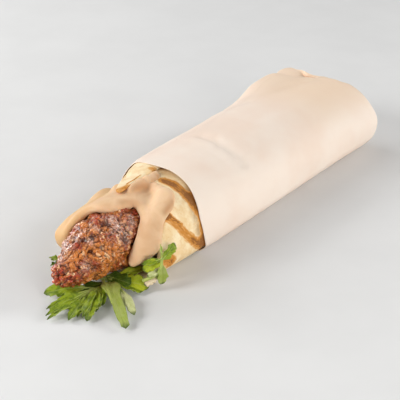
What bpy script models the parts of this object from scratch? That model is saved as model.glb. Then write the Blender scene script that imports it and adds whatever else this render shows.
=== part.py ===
"""Kofta sandwich: a flatbread roll in a paper sleeve, with a grilled kofta, sauce and parsley at
its open end. Metres; +Y runs from the mouth to the closed end, +Z up, the sleeve lies on z = 0."""
import math

import bmesh
import bpy
import numpy as np
from mathutils import Vector, noise

MM = 0.001

# Cross-section of the roll (mm): rounded top, nearly flat underside, widest point low down.
SECTION_Y = (-150.0, -122.0, -88.0, -30.0, 91.0)
HALF_WIDTH = (28.0, 31.0, 33.4, 35.6, 37.4)
HEIGHT = (42.4, 43.6, 45.0, 44.6, 42.8)
WIDEST_Z = 14.0
TOP_POWER = 2.2
BOTTOM_POWER = 3.0
BOTTOM_FLATTEN = 1.12

# Paper sleeve (mm).
PAPER_THICK = 0.5
RIM_ANGLE = (0, 18, 37, 55, 80, 92, 106, 127, 150, 180, 215, 300, 337, 360)
RIM_EDGE = (-90.5, -92, -90, -86.8, -86.2, -87, -85.4, -79.5, -75, -78, -85, -87, -87, -90.5)
FAR_Y = 91.0
END_ROUND = 5.0
SLEEVE_AROUND = 42
SLEEVE_ROWS = (0.0, 5.0, 20.0, 42.0, 62.0, 82.0, 102.0, 120.0, 136.0, 152.0, 168.0)
END_TURNS = (35.0, 65.0, 90.0)
END_RINGS = (0.62, 0.28)
END_MIDDLE_Z = 20.0
END_SINK = 1.0
FOLD_DEPTH = 0.8
SWELL_ANGLE = 108.0
SWELL_HEIGHT = 5.0
SWELL_Y = (2.0, 40.0)
DENT_Y = -18.0
DENT_DEPTH = 0.7

# Flatbread (mm, degrees): one sheet rolled once round with a flap lapping over its own start.
BREAD_THICK = 2.2
BREAD_INSET = PAPER_THICK + 0.55
LAP_GAP = 0.6
FLAP_EDGE = 90.0
LAP_END = 505.0
BREAD_STEP = 9.0
LEAST_STEP = 2.5
MOUTH_SLOPE = 0.55
BREAD_FAR_Y = 84.0
MOUTH_ANGLE = (90, 95, 101, 112, 127, 150, 159, 166, 171, 180,
               200, 230, 345, 362, 385, 400, 415, 430, 450, 505)
MOUTH_Y = (-119, -119, -110, -97, -80, -74, -80, -97, -113, -124,
           -127, -127, -127, -126, -120, -111, -103, -99, -95, -92)
SLIP_START = 385.0
SLIP_TURN = 55.0
BREAD_ROWS = (0.0, 0.006, 0.03, 0.08, 0.14, 0.22, 0.42, 0.7, 1.0)
EDGE_TURNS = (90.0, 91.6, 95.0, 101.0)
EDGE_THIN = 0.65

# Kofta (mm): radius and axis height along its length.
KOFTA_Y = (-169.0, -166.8, -162.5, -157.0, -150.5, -144.0, -135.0, -124.0, -110.0, -90.0, 60.0, 72.0, 78.0)
KOFTA_R = (0.8, 5.6, 8.2, 10.2, 12.4, 14.2, 15.3, 15.1, 13.8, 12.6, 12.4, 9.0, 0.8)
KOFTA_X = (-1.4, -1.4, -1.2, -0.8, 0.0, 0.6, 1.2, 1.2, 1.0, 0.0, 0.0, 0.0, 0.0)
KOFTA_Z = (14.7, 14.7, 15.0, 15.9, 17.6, 19.1, 20.4, 20.9, 21.0, 20.4, 20.0, 20.0, 20.0)
KOFTA_AROUND = 32
KOFTA_FINE_STEP = 2.7
KOFTA_FINE_END = -114.0
KOFTA_MIDDLE_STEP = 6.0
KOFTA_MIDDLE_END = -70.0
KOFTA_COARSE_ROWS = 6
TABLE_STEP = 6
RELIEF_COARSE = (2.4, 0.16)
RELIEF_FINE = (1.5, 0.38)
RELIEF_Y = (-132.0, -112.0)
RELIEF_SHARE = (1.0, 0.3)

# Sauce (mm): chains of (x, y, z, radius) blended into one body.
SAUCE_CHAINS = (
    ((-20.0, -78.0, 26.0, 5.6), (-19.0, -104.0, 26.0, 6.4), (-18.5, -114.0, 26.0, 6.4),
     (-18.5, -122.0, 25.0, 6.0), (-19.0, -131.0, 21.8, 5.2), (-19.8, -139.0, 16.4, 4.4)),
    ((-22.0, -88.0, 19.0, 5.6), (-22.0, -112.0, 19.0, 6.4), (-21.5, -128.0, 15.4, 5.4)),
    ((-20.0, -90.0, 11.0, 5.6), (-20.0, -122.0, 10.0, 5.6)),
    ((-23.0, -70.0, 27.0, 5.8), (-22.0, -86.0, 27.0, 5.8), (-15.0, -78.0, 33.4, 5.0),
     (-14.0, -96.0, 33.0, 5.0)),
    ((-3.0, -84.0, 37.0, 3.8), (3.0, -95.0, 38.6, 3.6), (0.0, -103.0, 39.0, 3.4),
     (-8.0, -110.0, 38.0, 3.2)),
    ((10.0, -98.0, 37.0, 3.6), (18.6, -104.5, 37.0, 4.4), (20.6, -110.0, 34.6, 4.8),
     (20.8, -117.0, 30.0, 5.2), (22.0, -123.0, 25.0, 5.2), (22.6, -128.0, 19.6, 4.6),
     (19.0, -133.0, 15.0, 3.4)),
    ((16.0, -112.0, 31.0, 5.0), (17.5, -120.0, 25.0, 5.0), (18.0, -128.0, 18.0, 3.6)),
)
COAT_THICK = 4.5
COAT_X = (-16.0, -12.0, -8.0, -4.0, 0.0, 3.0, 5.0, 7.0, 9.0)
COAT_FRONT = (-144.0, -139.4, -136.2, -135.0, -134.0, -131.4, -128.2, -124.0, -118.0)
COAT_BACK = -80.0
COAT_LOW = 17.0
SAUCE_BLEND = 1.4
SAUCE_CELL = 1.8
SAUCE_KEEP = 0.3
BLUR_ROUNDS = 2
BLUR_CLIP = 1.6
PINCH_FILL = -0.2
SAUCE_LOW = (-34.0, -150.0, 1.0)
SAUCE_HIGH = (34.0, -58.0, 50.0)
SAUCE_GAP = 1.0
SAUCE_LEAST_GAP = 0.95

# Parsley (mm, degrees).
LEAF_THICK = 0.55
LEAF_FLOOR = 0.8
LEAF_STEP = 0.07
LEAF_ACROSS = (-1.0, 0.0, 1.0)
LEAF_EDGE = ((0.0, 0.09, 0.0), (0.16, 0.16, 0.0), (0.34, 0.5, 0.02), (0.42, 0.52, 0.0), (0.54, 0.92, 0.05),
             (0.62, 0.76, 0.0), (0.71, 1.0, 0.06), (0.79, 0.7, 0.0), (0.86, 0.66, 0.05), (0.93, 0.34, 0.0),
             (1.0, 0.06, 0.0))
RIPPLE = 0.5
STEM_RADIUS = 0.9
STALK_RADIUS = 0.6
STALK_PARTS = (0.0, 0.18, 0.36)
STEM_SIDES = 6

COLOURS = {
    "paper": (0.86, 0.74, 0.66), "flatbread": (0.83, 0.66, 0.43), "kofta": (0.22, 0.07, 0.035),
    "sauce": (0.78, 0.56, 0.37), "parsley": (0.13, 0.24, 0.03),
}
ROUGHNESS = {"paper": 0.75, "flatbread": 0.85, "kofta": 0.35, "sauce": 0.4, "parsley": 0.5}


def make_material(name):
    """One plain opaque material."""
    material = bpy.data.materials.new(name)
    material.use_nodes = True
    shader = material.node_tree.nodes["Principled BSDF"]
    shader.inputs["Base Color"].default_value = (*COLOURS[name], 1.0)
    shader.inputs["Roughness"].default_value = ROUGHNESS[name]
    return material


def add_object(name, verts_mm, faces, slot):
    """A mesh object from vertices in millimetres."""
    mesh = bpy.data.meshes.new(name)
    mesh.from_pydata([tuple(float(c) * MM for c in v) for v in verts_mm], [], faces)
    mesh.validate()
    body = bmesh.new()
    body.from_mesh(mesh)
    bmesh.ops.recalc_face_normals(body, faces=body.faces)
    bmesh.ops.triangulate(body, faces=[f for f in body.faces if len(f.verts) > 3])
    body.to_mesh(mesh)
    body.free()
    obj = bpy.data.objects.new(name, mesh)
    bpy.context.scene.collection.objects.link(obj)
    mesh.materials.append(bpy.data.materials.get(slot) or make_material(slot))
    return obj


def bump(value, centre, width):
    """A bell of height one."""
    return np.exp(-((value - centre) / width) ** 2)


def sizes_at(y):
    """Half width and height of the roll at y."""
    return np.interp(y, SECTION_Y, HALF_WIDTH), np.interp(y, SECTION_Y, HEIGHT)


def section_point(degrees, y, inset):
    """x and z on the roll's section, moved in by inset."""
    half, height = sizes_at(y)
    angle = np.radians(degrees)
    c, s = np.cos(angle), np.sin(angle)
    power = np.where(s >= 0, TOP_POWER, BOTTOM_POWER)
    x = (half - inset) * np.sign(c) * np.abs(c) ** (2.0 / power)
    rise = (height - inset - WIDEST_Z) * np.abs(s) ** (2.0 / power)
    drop = (WIDEST_Z - inset) * BOTTOM_FLATTEN * np.abs(s) ** (2.0 / power)
    z = np.where(s >= 0, WIDEST_Z + rise, WIDEST_Z - drop)
    return x, np.maximum(z, inset)


def section_locate(x, y, z):
    """Angle in degrees and depth below the outer section for points in space."""
    half, height = sizes_at(y)
    up = z >= WIDEST_Z
    power = np.where(up, TOP_POWER, BOTTOM_POWER)
    low, high = np.full(x.shape, -40.0), np.full(x.shape, 13.5)
    for _ in range(24):
        inset = (low + high) / 2
        tall = np.where(up, height - inset - WIDEST_Z, (WIDEST_Z - inset) * BOTTOM_FLATTEN)
        ring = (np.abs(x) / (half - inset)) ** power + (np.abs(z - WIDEST_Z) / tall) ** power
        low, high = np.where(ring < 1, inset, low), np.where(ring < 1, high, inset)
    c = np.sign(x) * (np.abs(x) / (half - low)) ** (power / 2)
    tall = np.where(up, height - low - WIDEST_Z, (WIDEST_Z - low) * BOTTOM_FLATTEN)
    s = np.sign(z - WIDEST_Z) * (np.abs(z - WIDEST_Z) / tall) ** (power / 2)
    return np.degrees(np.arctan2(s, c)) % 360.0, np.minimum(low, z)


def sheet_solid(outer, inner, wrap):
    """Closed body between two grids of points, wrapped round in the first direction or not."""
    across, along = outer.shape[:2]
    verts = np.concatenate([outer.reshape(-1, 3), inner.reshape(-1, 3)])
    index = np.arange(across * along).reshape(across, along)
    under = index + across * along
    faces = []
    for i in range(across if wrap else across - 1):
        k = (i + 1) % across
        for j in range(along - 1):
            faces.append((index[i, j], index[k, j], index[k, j + 1], index[i, j + 1]))
            faces.append((under[i, j], under[i, j + 1], under[k, j + 1], under[k, j]))
        for j in (0, along - 1):
            faces.append((index[i, j], under[i, j], under[k, j], index[k, j]))
    if not wrap:
        for i in (0, across - 1):
            for j in range(along - 1):
                faces.append((index[i, j], index[i, j + 1], under[i, j + 1], under[i, j]))
    return verts, [tuple(int(n) for n in face) for face in faces]


# ---- paper sleeve

def rim_y(degrees):
    """Where the paper's front edge lies round the roll."""
    return np.interp(degrees % 360.0, RIM_ANGLE, RIM_EDGE)


def paper_swell(degrees, y):
    """The loose outer layer that stands proud at the far left, and shallow dents on top."""
    turn = (degrees + 180.0) % 360.0 - 180.0
    along = np.clip((y - SWELL_Y[0]) / SWELL_Y[1], 0.0, 1.0)
    loose = bump(turn, SWELL_ANGLE, np.where(turn > SWELL_ANGLE, 34.0, 10.0))
    dent = bump(turn, 62.0 - 0.5 * (y + 20.0), 9.0) * bump(y, DENT_Y, 30.0)
    return SWELL_HEIGHT * loose * along ** 1.5 - DENT_DEPTH * dent


def sleeve_surface(inset):
    """Grid of the sleeve's skin from rim to far edge, then in over the closed end."""
    degrees = np.arange(SLEEVE_AROUND) * 360.0 / SLEEVE_AROUND
    rows = []
    start = rim_y(degrees)
    for step in SLEEVE_ROWS:
        y = start + (FAR_Y - END_ROUND - start) * step / SLEEVE_ROWS[-1]
        x, z = section_point(degrees, y, inset)
        push = paper_swell(degrees, y)
        x = x + push * np.cos(np.radians(degrees))
        z = z + push * np.maximum(np.sin(np.radians(degrees)), 0.0)
        rows.append(np.stack([x, y, z], -1))
    edge, middle = rows[-1].copy(), np.array([0.0, 0.0, END_MIDDLE_Z])
    for turn in END_TURNS:
        shrink = END_ROUND * (1 - math.cos(math.radians(turn)))
        ring = edge.copy()
        arm = (edge - middle)[:, (0, 2)]
        ring[:, (0, 2)] -= arm / np.linalg.norm(arm, axis=1)[:, None] * shrink
        ring[:, 2] = np.maximum(ring[:, 2], inset)
        ring[:, 1] += (END_ROUND - inset) * math.sin(math.radians(turn))
        rows.append(ring)
    folds = np.sin(np.radians(degrees * 4 + 30.0))
    rounded = rows[-1]
    for scale in END_RINGS:
        ring = middle + (rounded - middle) * scale
        ring[:, 1] = FAR_Y - inset - END_SINK + FOLD_DEPTH * folds * scale
        rows.append(ring)
    return np.stack(rows, 1)


def build_paper():
    """The sleeve as one thin cup of paper."""
    outer, inner = sleeve_surface(0.0), sleeve_surface(PAPER_THICK)
    verts, faces = sheet_solid(outer, inner, True)
    last = outer.shape[1] - 1
    faces = [f for f in faces if not end_face(f, outer.shape, last)]
    for grid, first in ((outer, 0), (inner, outer.shape[0] * outer.shape[1])):
        verts = np.concatenate([verts, grid[:, last].mean(0)[None]])
        hub = len(verts) - 1
        ring = [first + i * outer.shape[1] + last for i in range(outer.shape[0])]
        faces += [(ring[i], ring[(i + 1) % len(ring)], hub) for i in range(len(ring))]
    add_object("paper_sleeve", verts, faces, "paper")


def end_face(face, shape, last):
    """True for the strip that would join both skins at the closed end."""
    return all(index % (shape[0] * shape[1]) % shape[1] == last for index in face)


# ---- flatbread

def bread_inset(turn):
    """Depth of the sheet's outer face: it slips under the flap after one full turn."""
    slip = np.clip((turn - SLIP_START) / SLIP_TURN, 0.0, 1.0)
    return BREAD_INSET + (BREAD_THICK + LAP_GAP) * slip * slip * (3 - 2 * slip)


def mouth_y(turn):
    """The slanting front edge of the roll."""
    return np.interp(turn, MOUTH_ANGLE, MOUTH_Y)


def bread_turns():
    """Angles of the sheet's columns, with one at every corner of the mouth's edge."""
    turns = list(EDGE_TURNS)
    for angle in sorted({*MOUTH_ANGLE, *np.arange(turns[-1] + 7.0, LAP_END, BREAD_STEP)}):
        if angle - turns[-1] > LEAST_STEP:
            turns.append(float(angle))
    return turns


def build_bread():
    """The rolled sheet, scooped at the mouth."""
    turn = np.array(bread_turns())[:, None]
    y = mouth_y(turn) + (BREAD_FAR_Y - mouth_y(turn)) * np.array(BREAD_ROWS)[None, :]
    turn = np.broadcast_to(turn, y.shape)
    thin = np.zeros(y.shape)
    thin[:, 0] = thin[0, :] = thin[-1, :] = EDGE_THIN
    skins = []
    for extra in (thin, BREAD_THICK - thin):
        x, z = section_point(turn, y, bread_inset(turn) + extra)
        skins.append(np.stack([x, y, z], -1))
    verts, faces = sheet_solid(skins[0], skins[1], False)
    add_object("flatbread", verts, faces, "flatbread")


def bread_distance(x, y, z):
    """Roughly how far points are from the rolled sheet."""
    turn, depth = section_locate(x, y, z)
    best = np.full(x.shape, 99.0)
    for lap in (turn, turn + 360.0):
        inside = (lap >= FLAP_EDGE - 2.0) & (lap <= LAP_END + 2.0)
        middle = bread_inset(lap) + BREAD_THICK / 2
        gap = np.maximum(np.abs(depth - middle) - BREAD_THICK / 2, (mouth_y(lap) - y) * MOUTH_SLOPE)
        best = np.where(inside, np.minimum(best, gap), best)
    return best


def paper_distance(x, y, z):
    """Roughly how far points are from the sleeve."""
    turn, depth = section_locate(x, y, z)
    return np.maximum(np.abs(depth - PAPER_THICK / 2) - PAPER_THICK / 2, rim_y(turn) - y)


# ---- kofta

def kofta_radius(y, degrees, relief=1.0):
    """Radius with the coarse relief of minced meat."""
    base = float(np.interp(y, KOFTA_Y, KOFTA_R))
    angle = math.radians(degrees)
    spot = Vector((base * math.cos(angle), y, base * math.sin(angle)))
    lumps = sum(size * noise.noise(spot * scale) for size, scale in (RELIEF_COARSE, RELIEF_FINE))
    nose = 1.0 + 0.1 * math.sin(3 * angle + 0.6) * (1.0 if y < -158.0 else 0.0)
    calm = float(np.interp(y, RELIEF_Y, RELIEF_SHARE)) * min(1.0, base / 8.0)
    return base * nose + relief * lumps * calm


def kofta_ring(y):
    """One ring of points round the axis."""
    x0, z0 = float(np.interp(y, KOFTA_Y, KOFTA_X)), float(np.interp(y, KOFTA_Y, KOFTA_Z))
    ring = []
    for i in range(KOFTA_AROUND):
        degrees = i * 360.0 / KOFTA_AROUND
        r = kofta_radius(y, degrees)
        ring.append((x0 + r * math.cos(math.radians(degrees)), y, z0 + r * math.sin(math.radians(degrees))))
    return ring


def kofta_rows():
    """Positions along the kofta, close together where it shows."""
    nose = [KOFTA_Y[0], KOFTA_Y[0] + 0.9]
    fine = np.arange(KOFTA_Y[1], KOFTA_FINE_END, KOFTA_FINE_STEP)
    middle = np.arange(fine[-1] + KOFTA_MIDDLE_STEP, KOFTA_MIDDLE_END, KOFTA_MIDDLE_STEP)
    coarse = np.linspace(KOFTA_MIDDLE_END, KOFTA_Y[-3], KOFTA_COARSE_ROWS)
    return [*nose, *fine, *middle, *coarse, *KOFTA_Y[-2:]]


def build_kofta():
    """A spindle of minced meat that runs on through the roll."""
    rings = [kofta_ring(float(y)) for y in kofta_rows()]
    verts = [p for ring in rings for p in ring]
    n = KOFTA_AROUND
    faces = []
    for j in range(len(rings) - 1):
        for i in range(n):
            k = (i + 1) % n
            faces.append((j * n + i, j * n + k, (j + 1) * n + k, (j + 1) * n + i))
    for ring in (rings[0], rings[-1]):
        verts.append(tuple(np.mean(ring, axis=0)))
        hub, first = len(verts) - 1, 0 if ring is rings[0] else (len(rings) - 1) * n
        faces += [(first + i, first + (i + 1) % n, hub) for i in range(n)]
    add_object("kofta", verts, faces, "kofta")


def kofta_distance(x, y, z, relief):
    """Roughly how far points are from the kofta, from a table of its radii."""
    rows = np.arange(KOFTA_Y[0], KOFTA_Y[-1], 1.0)
    turns = np.arange(0, 361 + TABLE_STEP, TABLE_STEP)
    table = np.array([[kofta_radius(float(r), float(d), relief) for d in turns] for r in rows])
    dx, dz = x - np.interp(y, KOFTA_Y, KOFTA_X), z - np.interp(y, KOFTA_Y, KOFTA_Z)
    column = np.degrees(np.arctan2(dz, dx)) % 360.0 / TABLE_STEP
    row = np.clip(y - KOFTA_Y[0], 0, len(rows) - 2)
    i, j = row.astype(int), column.astype(int)
    a, b = row - i, column - j
    near = table[i, j] * (1 - b) + table[i, j + 1] * b
    far = table[i + 1, j] * (1 - b) + table[i + 1, j + 1] * b
    return np.hypot(dx, dz) - (near * (1 - a) + far * a)


# ---- sauce

def capsule_distance(x, y, z, start, end):
    """Distance to a rod whose radius changes from start to end."""
    a, b = np.array(start[:3]), np.array(end[:3])
    along = b - a
    t = ((x - a[0]) * along[0] + (y - a[1]) * along[1] + (z - a[2]) * along[2]) / (along @ along)
    t = np.clip(t, 0.0, 1.0)
    gap = np.sqrt((x - a[0] - t * along[0]) ** 2 + (y - a[1] - t * along[1]) ** 2
                  + (z - a[2] - t * along[2]) ** 2)
    return gap - (start[3] + (end[3] - start[3]) * t)


def sauce_field(x, y, z):
    """Negative inside the sauce: blended rods and a coat on the meat, clear of bread, paper and meat."""
    total = np.zeros(x.shape)
    for chain in SAUCE_CHAINS:
        for start, end in zip(chain, chain[1:]):
            total += np.exp(-np.clip(capsule_distance(x, y, z, start, end), -12, 30) / SAUCE_BLEND)
    bare = kofta_distance(x, y, z, 0.0)
    coat = np.maximum(bare - COAT_THICK, np.interp(x, COAT_X, COAT_FRONT) - y)
    coat = np.maximum(np.maximum(coat, COAT_LOW - z), y - COAT_BACK)
    total += np.exp(-np.clip(coat, -12, 30) / SAUCE_BLEND)
    room = np.minimum(bread_distance(x, y, z), paper_distance(x, y, z))
    room = np.minimum(room, kofta_distance(x, y, z, 1.0))
    value = blurred(np.maximum(-SAUCE_BLEND * np.log(total + 1e-12), SAUCE_GAP - room))
    return close_pinches(np.maximum(value, SAUCE_LEAST_GAP - room))


def blurred(value):
    """Each grid value averaged a little with its neighbours, which rounds edges and drops thin films."""
    value = np.clip(value, -BLUR_CLIP, BLUR_CLIP)
    for _ in range(BLUR_ROUNDS):
        side = np.pad(value, 1, mode="edge")
        total = sum(np.roll(side, step, axis)[1:-1, 1:-1, 1:-1] for axis in range(3) for step in (-1, 1))
        value = value * 0.4 + total * 0.1
    return value


def close_pinches(value):
    """Where two inside corners of a grid square touch only across its diagonal, a third joins them."""
    for axis in range(3):
        face = np.moveaxis(value, axis, 0)
        near, far = face[:, :-1, :-1], face[:, 1:, 1:]
        left, right = face[:, :-1, 1:], face[:, 1:, :-1]
        straight = (near < 0) & (far < 0) & (left >= 0) & (right >= 0)
        crossed = (near >= 0) & (far >= 0) & (left < 0) & (right < 0)
        left[straight] = PINCH_FILL
        near[crossed] = PINCH_FILL
    return value


def shifted(grid, step):
    """One corner of every grid cell."""
    return grid[tuple(slice(o, size - 1 + o) for o, size in zip(step, grid.shape))]


def surface_net(field, low, high, cell):
    """Closed quad mesh of the surface where the field changes sign."""
    axes = [np.arange(a, b, cell) for a, b in zip(low, high)]
    grid = np.stack(np.meshgrid(*axes, indexing="ij"), -1)
    value = field(grid[..., 0], grid[..., 1], grid[..., 2])
    shape = np.array(value.shape)
    total, count = np.zeros((*(shape - 1), 3)), np.zeros(shape - 1)
    steps = [(0, 0, 0), (1, 0, 0), (0, 1, 0), (0, 0, 1), (1, 1, 0), (1, 0, 1), (0, 1, 1), (1, 1, 1)]
    for first in steps:
        for second in steps:
            if sum(second) - sum(first) != 1 or min(np.subtract(second, first)) < 0:
                continue
            a, b = shifted(value, first), shifted(value, second)
            cross = (a < 0) != (b < 0)
            part = np.where(cross, a / np.where(cross, a - b, 1.0), 0.0)[..., None]
            spot = shifted(grid, first) * (1 - part) + shifted(grid, second) * part
            total += np.where(cross[..., None], spot, 0)
            count += cross
    used = count > 0
    number = np.full(count.shape, -1)
    number[used] = np.arange(used.sum())
    return total[used] / count[used][:, None], net_faces(value < 0, number)


def net_faces(inside, number):
    """A quad across every grid edge that the surface cuts."""
    faces = []
    for axis in range(3):
        u, v = (axis + 1) % 3, (axis + 2) % 3
        first = np.take(inside, range(inside.shape[axis] - 1), axis)
        second = np.take(inside, range(1, inside.shape[axis]), axis)
        for spot in np.argwhere(first != second):
            if min(spot[u], spot[v]) < 1:
                continue
            ring = []
            for du, dv in ((1, 1), (0, 1), (0, 0), (1, 0)):
                cell = spot.copy()
                cell[u] -= du
                cell[v] -= dv
                ring.append(int(number[tuple(cell)]))
            faces.append(tuple(ring if first[tuple(spot)] else ring[::-1]))
    return faces


def keep_largest(obj):
    """Keep only the biggest connected piece of a mesh."""
    body = bmesh.new()
    body.from_mesh(obj.data)
    seen, groups = set(), []
    for vert in body.verts:
        if vert in seen:
            continue
        group, queue = [], [vert]
        seen.add(vert)
        while queue:
            here = queue.pop()
            group.append(here)
            for edge in here.link_edges:
                other = edge.other_vert(here)
                if other not in seen:
                    seen.add(other)
                    queue.append(other)
        groups.append(group)
    biggest = max(groups, key=len)
    bmesh.ops.delete(body, geom=[v for g in groups if g is not biggest for v in g], context="VERTS")
    body.to_mesh(obj.data)
    body.free()


def build_sauce():
    """Sauce draped over the mouth of the roll and the top of the kofta."""
    verts, faces = surface_net(sauce_field, SAUCE_LOW, SAUCE_HIGH, SAUCE_CELL)
    obj = add_object("sauce", verts, faces, "sauce")
    keep_largest(obj)
    thin = obj.modifiers.new("thin", "DECIMATE")
    thin.ratio = SAUCE_KEEP


# ---- parsley

def leaf_frame(leaf):
    """A leaflet's length and its directions along, to the left and up."""
    along = Vector(leaf["tip"]) - Vector(leaf["base"])
    length = along.length
    along.normalize()
    left = Vector(leaf.get("face", (0.0, 0.0, 1.0))).cross(along).normalized()
    return length, along, left, along.cross(left)


def leaf_spot(leaf, part, wide, across, lean):
    """A point on a leaflet's middle surface."""
    length, along, left, rise = leaf_frame(leaf)
    bend = leaf["arch"] * math.sin(math.pi * part) + leaf["fold"] * abs(across) * wide
    bend += RIPPLE * math.sin(part * 11.0 + across * 2.0 + length) * abs(across)
    spot = Vector(leaf["base"]) + along * length * (part + lean * across * across)
    spot += left * leaf["half"] * wide * across + rise * bend
    spot.z = max(spot.z, leaf["low"])
    return spot


def leaf_grid(leaf, side):
    """One face of a leaflet: rows from stalk to tip, points across from edge to edge."""
    shift = leaf_frame(leaf)[3] * side * LEAF_THICK / 2
    return np.array([[tuple(leaf_spot(leaf, part, wide, across, lean) + shift) for across in LEAF_ACROSS]
                     for part, wide, lean in LEAF_EDGE])


def add_leaf(name, leaf):
    """A thin wavy leaflet, both faces split into triangles alike."""
    verts, faces = sheet_solid(leaf_grid(leaf, 1), leaf_grid(leaf, -1), False)
    halves = [half for face in faces for half in split_quad(face, verts)]
    return add_object(name, verts, halves, "parsley")


def add_leaf_stalk(name, leaf):
    """The leaflet's own stalk, from the stem to a third of the way up its midrib."""
    path = [leaf["root"], *(leaf_spot(leaf, part, 0.0, 0.0, 0.0) for part in STALK_PARTS)]
    return add_stem(name, path, STALK_RADIUS)


def split_quad(face, verts):
    """Two triangles of a quad, on the diagonal from its corner nearest the stalk."""
    count = len(verts) // 2
    start = min(range(4), key=lambda k: face[k] % count)
    ring = face[start:] + face[:start]
    return (ring[0], ring[1], ring[2]), (ring[0], ring[2], ring[3])


def add_stem(name, path, radius):
    """A thin stalk along a path of points."""
    points = [Vector(p) for p in path]
    verts, faces = [], []
    for i, point in enumerate(points):
        along = (points[min(i + 1, len(points) - 1)] - points[max(i - 1, 0)]).normalized()
        side = along.cross(Vector((0, 0, 1))).normalized()
        rise = side.cross(along)
        for k in range(STEM_SIDES):
            a = 2 * math.pi * k / STEM_SIDES
            verts.append(tuple(point + (side * math.cos(a) + rise * math.sin(a)) * radius))
    n = STEM_SIDES
    for i in range(len(points) - 1):
        for k in range(n):
            m = (k + 1) % n
            faces.append((i * n + k, i * n + m, (i + 1) * n + m, (i + 1) * n + k))
    faces += [tuple(range(n)), tuple(range((len(points) - 1) * n, len(points) * n))]
    return add_object(name, verts, faces, "parsley")


def join_solids(base, others):
    """Fuse a set of overlapping solids into the base object."""
    group = bpy.data.collections.new(base.name + "_parts")
    for other in others:
        group.objects.link(other)
    union = base.modifiers.new("join", "BOOLEAN")
    union.operation = "UNION"
    union.operand_type = "COLLECTION"
    union.collection = group
    union.solver = "EXACT"
    graph = bpy.context.evaluated_depsgraph_get()
    fused = bpy.data.meshes.new_from_object(base.evaluated_get(graph))
    base.modifiers.clear()
    base.data = fused
    for other in others:
        bpy.data.objects.remove(other, do_unlink=True)
    bpy.data.collections.remove(group)
    body = bmesh.new()
    body.from_mesh(fused)
    bmesh.ops.remove_doubles(body, verts=body.verts, dist=0.00002)
    bmesh.ops.triangulate(body, faces=[f for f in body.faces if len(f.verts) > 3])
    body.to_mesh(fused)
    body.free()
    keep_largest(base)


FRONT_STEM = ((12.0, -122.0, 4.8), (12.0, -134.0, 4.6), (11.6, -143.0, 4.0), (9.6, -149.0, 3.8),
              (5.8, -153.6, 3.5))
FRONT_LEAVES = (
    {"root": (7.0, -152.2, 3.6), "base": (3.4, -155.6, 3.4), "tip": (-8.0, -171.5, 2.4), "half": 5.0,
     "arch": 0.6, "fold": 0.9},
    {"root": (6.6, -152.8, 3.6), "base": (6.2, -155.6, 3.4), "tip": (5.4, -185.6, 1.6), "half": 6.8,
     "arch": 1.4, "fold": 1.2},
    {"root": (7.8, -151.2, 3.7), "base": (8.6, -154.4, 3.6), "tip": (14.0, -181.6, 1.6), "half": 5.0,
     "arch": 1.2, "fold": 1.0},
    {"root": (9.4, -149.2, 3.8), "base": (10.6, -152.6, 3.9), "tip": (21.8, -176.6, 1.6), "half": 5.8,
     "arch": 1.6, "fold": 1.4},
    {"root": (9.8, -148.6, 3.9), "base": (11.8, -151.0, 4.2), "tip": (21.4, -160.5, 2.0), "half": 4.2,
     "arch": 0.8, "fold": 0.8},
    {"root": (10.4, -146.6, 4.0), "base": (13.6, -149.4, 5.4), "tip": (42.4, -171.4, 1.4), "half": 6.2,
     "arch": 1.8, "fold": -1.2},
    {"root": (11.2, -144.2, 4.0), "base": (16.4, -146.0, 5.2), "tip": (39.2, -158.8, 3.0), "half": 3.6,
     "arch": 1.6, "fold": 1.0},
    {"root": (11.4, -143.4, 4.1), "base": (14.0, -144.6, 6.2), "tip": (27.0, -147.0, 6.2), "half": 5.0,
     "arch": 1.2, "fold": 0.8},
    {"root": (11.8, -140.0, 4.2), "base": (14.4, -140.0, 6.2), "tip": (29.8, -133.8, 2.8), "half": 5.8,
     "arch": 1.6, "fold": 0.8},
    {"root": (12.0, -136.4, 4.4), "base": (13.6, -136.0, 6.6), "tip": (24.4, -128.4, 7.6), "half": 4.6,
     "arch": 0.8, "fold": 0.6},
    {"root": (11.6, -142.6, 4.0), "base": (-1.0, -141.0, 1.5), "tip": (-31.0, -141.0, 3.4), "half": 6.0,
     "arch": 0.3, "fold": 0.6},
)
SIDE_STEM = ((26.0, -135.6, 7.4), (30.0, -137.6, 8.0), (32.4, -136.6, 8.8))
SIDE_LEAVES = (
    {"root": (31.6, -136.8, 8.6), "base": (32.4, -135.2, 9.6), "tip": (33.8, -117.4, 21.0), "half": 5.4,
     "arch": 0.6, "fold": 0.6, "face": (1.0, -0.2, -0.2)},
    {"root": (29.0, -137.0, 7.8), "base": (30.2, -135.2, 8.4), "tip": (33.0, -124.4, 13.4), "half": 5.0,
     "arch": 0.8, "fold": 0.5, "face": (0.8, -0.4, 0.5)},
    {"root": (30.4, -137.4, 8.1), "base": (32.0, -135.6, 6.6), "tip": (34.6, -122.4, 2.4), "half": 5.0,
     "arch": 1.2, "fold": 0.6, "face": (0.6, -0.2, 0.7)},
)


def build_sprig(name, stem, leaves):
    """Leaflets and stalks fused into one sprig."""
    solids = []
    for i, leaf in enumerate(leaves):
        leaf = {**leaf, "low": LEAF_FLOOR + LEAF_STEP * i}
        solids += [add_leaf(f"{name}_leaf{i}", leaf), add_leaf_stalk(f"{name}_stalk{i}", leaf)]
    join_solids(add_stem(name, stem, STEM_RADIUS), solids)


def main():
    for obj in list(bpy.data.objects):
        bpy.data.objects.remove(obj, do_unlink=True)
    build_paper()
    build_bread()
    build_kofta()
    build_sauce()
    build_sprig("parsley_front", FRONT_STEM, FRONT_LEAVES)
    build_sprig("parsley_side", SIDE_STEM, SIDE_LEAVES)


main()
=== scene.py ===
import math
import random

import bpy
import numpy as np
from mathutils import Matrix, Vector, noise


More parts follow.
